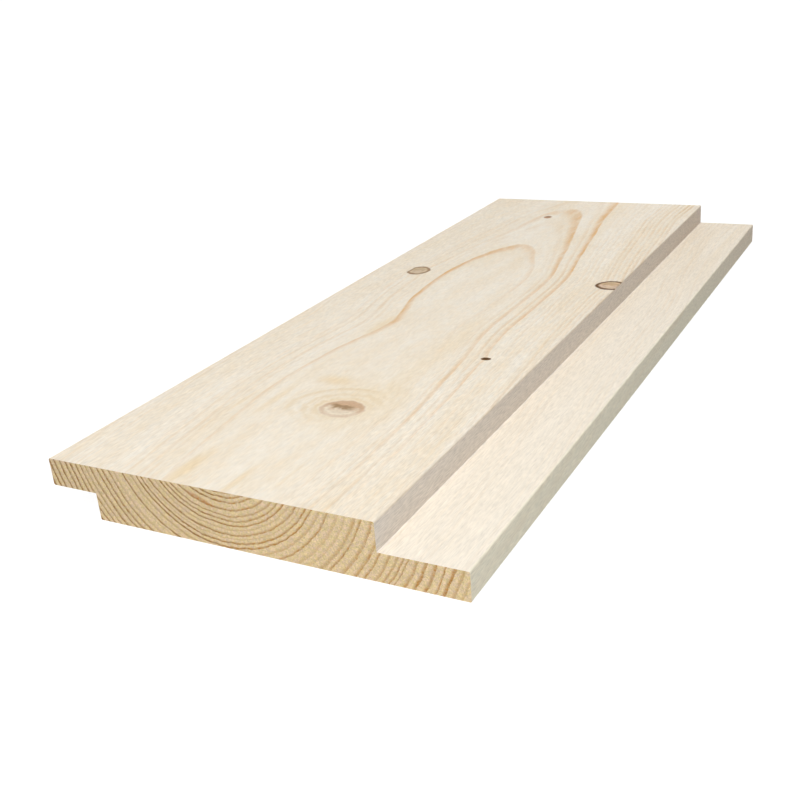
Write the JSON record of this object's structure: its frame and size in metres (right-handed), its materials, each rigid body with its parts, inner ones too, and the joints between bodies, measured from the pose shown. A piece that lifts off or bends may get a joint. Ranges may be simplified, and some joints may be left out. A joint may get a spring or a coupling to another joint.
{
  "type": "shiplap cladding board",
  "caption": "Planed softwood wall board with a rebate along each long edge: its lip laps over the next board's tongue and leaves a shadow gap.",
  "frame": {"origin": "in the plane of the back face, at the middle of the overall width and of the length", "axes": "+X across the board from the lip to the tongue, +Y along the grain, +Z from the back face to the show face"},
  "size_m": [0.14, 0.35, 0.018],
  "materials": {
    "planed_softwood": "planed, unfinished"
  },
  "bodies": {
    "root": {"cladding_board": "planed_softwood"}
  },
  "joints": []
}
